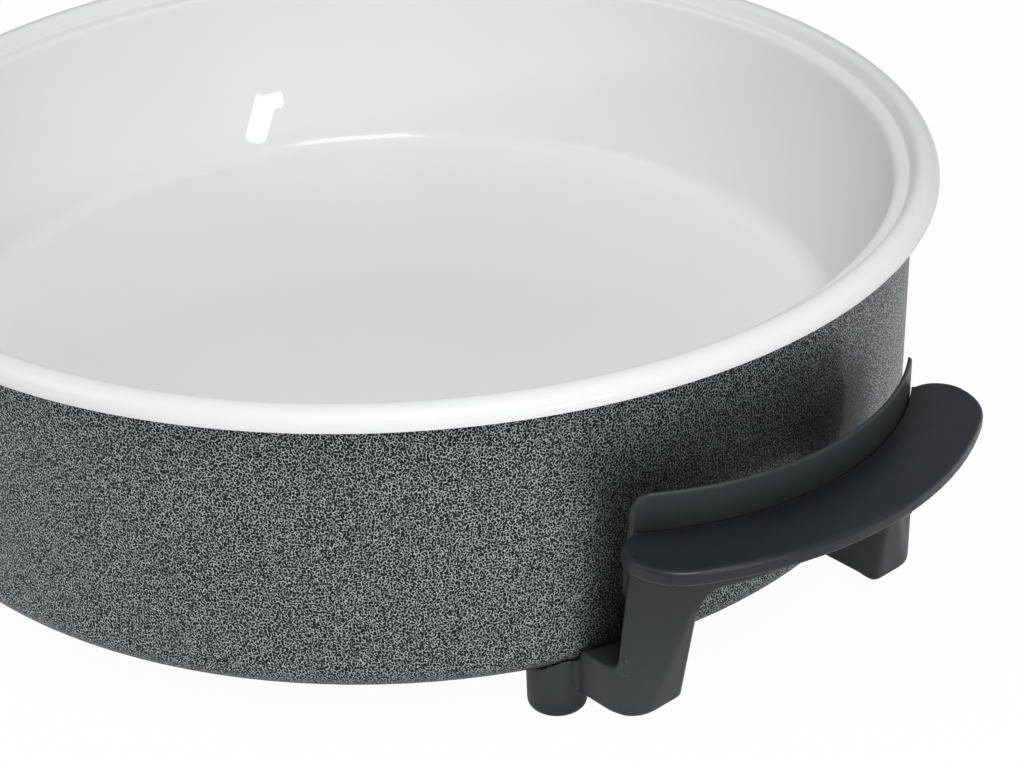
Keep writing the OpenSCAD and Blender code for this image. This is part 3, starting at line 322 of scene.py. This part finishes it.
def lamp_lens():
    """Clear red lens of the pilot lamp."""
    mat, tree, shader, at = new_material("lamp_lens")
    depth = remap(tree, noise(tree, at, scale=500), WIDE)
    colour = mix_colour(tree, depth, (0.42, 0.012, 0.008), (0.62, 0.035, 0.02))
    feed(tree, colour, shader.inputs["Base Color"])
    rough = remap(tree, noise(tree, at, scale=200, detail=1), WIDE, (0.06, 0.12))
    feed(tree, rough, shader.inputs["Roughness"])
    set_values(shader, {"Coat Weight": 0.6})
    bump(tree, shader, noise(tree, at, scale=900, detail=1), strength=0.1, distance=0.0001)
    return mat


CERAMIC = ceramic_coat()
PAINT = hammered_paint()
HANDLE = moulded_plastic("handle_plastic", (0.0300, 0.0350, 0.0375), (0.0360, 0.0410, 0.0435), (0.36, 0.44))
GRIP = moulded_plastic(
    "grip_plastic", (0.0122, 0.0150, 0.0192), (0.0152, 0.0184, 0.0226), (0.32, 0.40),
    specular=0.34, edge_highlight=1.0)
CONTROL = moulded_plastic(
    "control_plastic", (0.0120, 0.0140, 0.0165), (0.0160, 0.0180, 0.0200), (0.40, 0.50),
    grain=2200, strength=0.25)
DIAL = moulded_plastic(
    "dial_plastic", (0.0100, 0.0110, 0.0130), (0.0140, 0.0150, 0.0170), (0.20, 0.30),
    grain=1200, strength=0.05, specular=0.45)
MARKS = dull("dial_marks", (0.60, 0.61, 0.61), (0.68, 0.69, 0.69), 0.5, scale=600, strength=0.05)
PLATED = metal("plated_steel", (0.62, 0.62, 0.63), (0.55, 0.56, 0.58), (0.22, 0.36), scale=500)
CAST = metal("cast_plate", (0.56, 0.57, 0.58), (0.48, 0.49, 0.50), (0.45, 0.62), scale=380, strength=0.5)
SHEATH = metal("element_sheath", (0.20, 0.20, 0.19), (0.13, 0.12, 0.11), (0.42, 0.58), scale=260)
SHIELD = metal(
    "shield_sheet", (0.72, 0.73, 0.74), (0.66, 0.67, 0.68), (0.24, 0.36),
    scale=120, stretch=(1, 8, 1))
COVER = metal(
    "cover_sheet", (0.34, 0.35, 0.36), (0.30, 0.31, 0.32), (0.36, 0.48),
    scale=260, stretch=(6, 1, 1), strength=0.1, metallic=0.7)
BRASS = metal(
    "contact_brass", (0.78, 0.60, 0.30), (0.70, 0.52, 0.25), (0.24, 0.36),
    scale=420, stretch=(1, 6, 1))
PROBE = metal(
    "probe_steel", (0.66, 0.67, 0.68), (0.60, 0.61, 0.62), (0.14, 0.26),
    scale=300, stretch=(1, 14, 14))
BISQUE = dull("inlet_ceramic", (0.66, 0.62, 0.54), (0.74, 0.71, 0.64), 0.78)
RUBBER = dull("gland_rubber", (0.012, 0.012, 0.012), (0.018, 0.018, 0.018), 0.62, scale=400)
LENS = lamp_lens()

BY_SLOT = {
    "pan_coating": CERAMIC,
    "shell_paint": PAINT,
    "cast_plate": CAST,
    "element_sheath": SHEATH,
    "plated_pins": PLATED,
    "plated_steel": PLATED,
    "shield_sheet": SHIELD,
    "cover_sheet": COVER,
    "inlet_ceramic": BISQUE,
    "handle_plastic": HANDLE,
    "grip_plastic": GRIP,
    "control_plastic": CONTROL,
    "dial_plastic": DIAL,
    "contact_brass": BRASS,
    "probe_steel": PROBE,
    "lamp_lens": LENS,
    "gland_rubber": RUBBER,
}


def material_of(node):
    return BY_SLOT[SLOT_OF[node]]


def dress(obj, mat):
    if not obj.material_slots:
        obj.data.materials.append(mat)
    for entry in obj.material_slots:
        entry.link = "OBJECT"
        entry.material = mat


for node, obj in NODES.items():
    dress(obj, material_of(node))


# ---------------------------------------------------------------- pieces
WELD = 2e-6  # metres within which two corners of a node's mesh are one


def add(name, mesh, mat, body, *nodes, slot):
    """A piece that rides a body, wears the given material and takes the place of the nodes, if any; the slot
    argument is not used.
    """
    obj = bpy.data.objects.new(name, mesh)
    bpy.context.scene.collection.objects.link(obj)
    mesh.materials.clear()
    mesh.materials.append(mat)
    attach(obj, body)
    if nodes:
        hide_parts(*nodes)
    return obj


def baked(node, name, modifiers=()):
    """A copy of a CAD node's mesh with modifiers applied; the node's own mesh stays as it is."""
    obj = bpy.data.objects.new(name + "_work", NODES[node].data.copy())
    bpy.context.scene.collection.objects.link(obj)
    work = bmesh.new()
    work.from_mesh(obj.data)
    bmesh.ops.remove_doubles(work, verts=work.verts, dist=WELD)
    work.to_mesh(obj.data)
    work.free()
    for kind, settings in modifiers:
        mod = obj.modifiers.new(kind, kind)
        for key, value in settings.items():
            setattr(mod, key, value)
    graph = bpy.context.evaluated_depsgraph_get()
    mesh = bpy.data.meshes.new_from_object(obj.evaluated_get(graph))
    mesh.name = name
    bpy.data.objects.remove(obj)
    return mesh


# Moulded nodes: size of the cells that the skin is rebuilt in and how far it is drawn in, both in metres, and
# the smoothing passes between the two
MOULDED = {
    "right_grip": (0.0005, 0.00014, 2),
    "left_grip": (0.0005, 0.00014, 2),
    "right_bracket": (0.00065, 0.0, 5),
    "left_bracket": (0.00065, 0.0, 5),
    "control_upper": (0.00055, 0.0, 4),
    "control_lower": (0.00055, 0.0, 4),
}
FACES_KEPT = 0.4


def softened(node, cell, draw_in, passes):
    """The moulded form of a node, with its edges softened as a mould leaves them."""
    steps = [
        ("REMESH", {"mode": "VOXEL", "voxel_size": cell, "use_smooth_shade": True}),
        ("SMOOTH", {"factor": 0.5, "iterations": passes}),
        ("DISPLACE", {"strength": -draw_in, "mid_level": 0.0, "direction": "NORMAL"}),
        ("DECIMATE", {"decimate_type": "COLLAPSE", "ratio": FACES_KEPT}),
    ]
    name = node + "_moulded"
    mesh = baked(node, name, steps)
    mesh.shade_smooth()
    add(name, mesh, material_of(node), NODES[node]["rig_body"], node, slot=SLOT_OF[node])


for node, (cell, draw_in, passes) in MOULDED.items():
    softened(node, cell, draw_in, passes)


# Half section of the pan in millimetres, as (radius, height), from the middle of the floor to the rim's edge
FLOOR_Z = 55
FLOOR_RADII = (0.0, 20, 60, 100, 130, 150, 160)
SHEET_T = 2
RIM_R = 210.5
RIM_LOW_Z = 127.15
RIM_RETURN = [(210.2, 127.0), (208.8, 127.0)]  # the cut edge under the rim
HOLLOW = 1  # the arc's radius grows towards the face beneath
CREST = -1  # the arc's radius shrinks towards the face beneath
# Arcs from the floor outward: centre, radius, kind, start and end in degrees from outward, steps, and how
# many points are left out at the start because the arc before has them
PAN_ARCS = (
    (168.86, 64, 9, HOLLOW, -90, -20, 16, 0),  # round the floor
    (-123.69, 170.48, 320.32, HOLLOW, -20, -8, 40, 1),  # the wall
    (195.9, 125.6, 2.4, CREST, 172, 90, 8, 0),  # on to the lid seat
    (198.63, 129.2, 1.2, HOLLOW, -90, -20, 6, 0),  # from the seat up the step
    (203.9, 130.8, 3.2, CREST, 160, 90, 10, 0),  # the rim's inner half
    (203.9, 127.4, 6.6, CREST, 90, 0, 18, 1),  # the rim's outer half
)
PAN_SEGMENTS = 288
PAN_SHARP = 38  # degrees between faces from which an edge is drawn sharp
NODE_SHARP = 32


def arc(centre_x, centre_z, radius, start, end, steps):
    """Points of an arc in the (radius, height) plane, angles in degrees from outward."""
    turn = [math.radians(start + (end - start) * i / steps) for i in range(steps + 1)]
    return [(centre_x + radius * math.cos(angle), centre_z + radius * math.sin(angle)) for angle in turn]


def pan_face(gap):
    """Half section of the pan at a gap beneath its coated face."""
    line = [(radius, FLOOR_Z - gap) for radius in FLOOR_RADII]
    for centre_x, centre_z, radius, kind, start, end, steps, skipped in PAN_ARCS:
        line += arc(centre_x, centre_z, radius + kind * gap, start, end, steps)[skipped:]
    return line + [(RIM_R - gap, RIM_LOW_Z)]


def lathe(name, outline):
    """A closed outline in millimetres turned about the pan's axis; a point at radius 0 becomes one vertex."""
    mesh = bpy.data.meshes.new(name)
    work = bmesh.new()
    turn = [2 * math.pi * i / PAN_SEGMENTS for i in range(PAN_SEGMENTS)]
    rings = []
    for radius, height in outline:
        z = height * MM
        if radius <= 0:
            rings.append([work.verts.new((PAN_X, 0, z))])
            continue
        ring = [(PAN_X + radius * MM * math.cos(angle), radius * MM * math.sin(angle), z) for angle in turn]
        rings.append([work.verts.new(point) for point in ring])
    for low, high in zip(rings, rings[1:] + rings[:1]):
        for i in range(PAN_SEGMENTS):
            j = (i + 1) % PAN_SEGMENTS
            face = [low[i % len(low)], low[j % len(low)], high[j % len(high)], high[i % len(high)]]
            face = list(dict.fromkeys(face))
            if len(face) > 2:
                work.faces.new(face)
    bmesh.ops.recalc_face_normals(work, faces=work.faces)
    work.to_mesh(mesh)
    work.free()
    mesh.shade_smooth()
    mesh.set_sharp_from_angle(angle=math.radians(PAN_SHARP))
    return mesh


pan = lathe("coated_pan", pan_face(0) + RIM_RETURN + pan_face(SHEET_T)[::-1])
add("coated_pan", pan, CERAMIC, "skillet", "cooking_pan", slot="pan_coating")


def evened(node):
    """A node as it is, with its round faces shaded round."""
    name = node + "_even"
    mesh = baked(node, name)
    mesh.shade_smooth()
    mesh.set_sharp_from_angle(angle=math.radians(NODE_SHARP))
    add(name, mesh, material_of(node), NODES[node]["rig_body"], node, slot=SLOT_OF[node])


for node in sorted(set(NODES) - {"cooking_pan", *MOULDED}):
    evened(node)


# Printed marks round the dial's axis, in millimetres and degrees
TICKS = 10
TICK_STEP = 270 / (TICKS - 1)
TICK_IN = 22.6
TICK_OUT = 23.6
TICK_GROWTH = 0.15  # each tick is this much longer than the one before
TICK_W = 0.7
TICK_SUNK = 0.12
TICK_PROUD = 0.1
POINTER_IN = 12.4
POINTER_OUT = 19.0
POINTER_W = 1.1
POINTER_LOW = 1.82  # below the dial's top
POINTER_HIGH = 1.5
MARK_ROUND = 0.06


def bars(name, rows, low, high, body):
    """Thin printed bars round the dial's axis: rows of (angle, inner and outer radius, width)."""
    mesh = bpy.data.meshes.new(name)
    work = bmesh.new()
    for angle, inner, outer, width in rows:
        cube = bmesh.ops.create_cube(work, size=1)["verts"]
        turn = Matrix.Rotation(math.radians(angle), 3, "Z")
        size = Vector(((outer - inner) * MM, width * MM, high - low))
        bmesh.ops.scale(work, vec=size, verts=cube)
        bmesh.ops.translate(work, vec=((inner + outer) / 2 * MM, 0, (low + high) / 2), verts=cube)
        bmesh.ops.rotate(work, cent=(0, 0, 0), matrix=turn, verts=cube)
    bmesh.ops.translate(work, vec=(DIAL_X, 0, 0), verts=work.verts)
    bmesh.ops.bevel(work, geom=work.edges, offset=MARK_ROUND * MM, segments=2, affect="EDGES")
    work.to_mesh(mesh)
    work.free()
    add(name, mesh, MARKS, body, slot="inlet_ceramic")


dial_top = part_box("dial")[1][2]
control_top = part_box("control_upper")[1][2]
pointer = [(0, POINTER_IN, POINTER_OUT, POINTER_W)]
ticks = [(-i * TICK_STEP, TICK_IN, TICK_OUT + i * TICK_GROWTH, TICK_W) for i in range(TICKS)]
bars("dial_pointer", pointer, dial_top - POINTER_LOW * MM, dial_top - POINTER_HIGH * MM, "dial")
bars("heat_marks", ticks, control_top - TICK_SUNK * MM, control_top + TICK_PROUD * MM, "control")


# ---------------------------------------------------------------- stage
FLOOR_RADIUS = 9
FLOOR_SEGMENTS = 96
FLOOR_COLOUR = (0.88, 0.88, 0.88, 1)
WHITE = (1, 1, 1, 1)
FLOOR_SHOWN = 0.975  # share of plain white that the camera sees in the floor; the rest shows the shadow
FLOOR_IN_GLOSS = 0.45  # share of plain white that glossy surfaces see in it
SURROUND = 0.25  # strength of the surroundings as a light
SURROUND_IN_GLOSS = 0.08  # added for glossy surfaces


def make_floor():
    """Pale floor that shows white and keeps a faint shadow."""
    mesh = bpy.data.meshes.new("floor")
    work = bmesh.new()
    bmesh.ops.create_circle(work, cap_ends=True, segments=FLOOR_SEGMENTS, radius=FLOOR_RADIUS)
    work.to_mesh(mesh)
    work.free()
    floor = bpy.data.objects.new("floor", mesh)
    bpy.context.scene.collection.objects.link(floor)
    mat = bpy.data.materials.new("floor_white")
    mat.use_nodes = True
    tree = mat.node_tree
    for node in list(tree.nodes):
        if node.type != "OUTPUT_MATERIAL":
            tree.nodes.remove(node)
    output = tree.nodes[0]
    lit = tree.nodes.new("ShaderNodeBsdfDiffuse")
    lit.inputs["Color"].default_value = FLOOR_COLOUR
    glow = tree.nodes.new("ShaderNodeEmission")
    glow.inputs["Color"].default_value = WHITE
    path = tree.nodes.new("ShaderNodeLightPath")
    seen = math_node(tree, "MULTIPLY", path.outputs["Is Camera Ray"], FLOOR_SHOWN)
    share = math_node(tree, "MULTIPLY_ADD", path.outputs["Is Glossy Ray"], FLOOR_IN_GLOSS, seen)
    mix = tree.nodes.new("ShaderNodeMixShader")
    for source, socket in zip((share, lit.outputs[0], glow.outputs[0]), mix.inputs):
        feed(tree, source, socket)
    feed(tree, mix.outputs[0], output.inputs["Surface"])
    mesh.materials.append(mat)


def make_surroundings():
    """White surroundings: plain white to the camera, a dim even light to everything else."""
    world = bpy.data.worlds.new("surroundings")
    bpy.context.scene.world = world
    world.use_nodes = True
    tree = world.node_tree
    back = tree.nodes["Background"]
    path = tree.nodes.new("ShaderNodeLightPath")
    back.inputs["Color"].default_value = WHITE
    around = math_node(tree, "MULTIPLY_ADD", path.outputs["Is Glossy Ray"], SURROUND_IN_GLOSS, SURROUND)
    strength = math_node(tree, "MAXIMUM", around, path.outputs["Is Camera Ray"])
    feed(tree, strength, back.inputs["Strength"])


LAMP_AIM = Vector((PAN_X, 0, 0.08))
LAMP_RING_Z = 0.1  # height that the rise of a lamp is measured from
# Lamps: name, degrees from the camera's side towards picture right, degrees up, metres away, width, height,
# watts, spin in degrees. The two panes are the windows that show in the coating.
LAMPS = (
    ("key", 10, 54, 1.9, 0.86, 0.86, 25.4, 0),
    ("fill", -75, 38, 1.9, 0.80, 0.80, 4.0, 0),
    ("tall_pane", 34, 12.8, 1.5, 0.19, 0.122, 1.9, 44),
    ("low_pane", 29.2, 10.5, 1.5, 0.13, 0.05, 1.1, 0),
)


def softbox(name, turn, rise, distance, width, height, power, spin):
    """A rectangular lamp that looks at the pan."""
    data = bpy.data.lights.new(name, "AREA")
    data.shape = "RECTANGLE"
    data.size = width
    data.size_y = height
    data.energy = power
    obj = bpy.data.objects.new(name, data)
    bpy.context.scene.collection.objects.link(obj)
    side = math.radians(CAMERA_TURN + turn)
    flat = distance * math.cos(math.radians(rise))
    up = LAMP_RING_Z + distance * math.sin(math.radians(rise))
    place = Vector((PAN_X + flat * math.sin(side), -flat * math.cos(side), up))
    aim = (place - LAMP_AIM).to_track_quat("Z", "Y").to_matrix().to_4x4()
    obj.matrix_world = Matrix.Translation(place) @ aim @ Matrix.Rotation(math.radians(spin), 4, "Z")


make_floor()
make_surroundings()
for lamp in LAMPS:
    softbox(*lamp)

bpy.context.scene.view_settings.view_transform = "Standard"
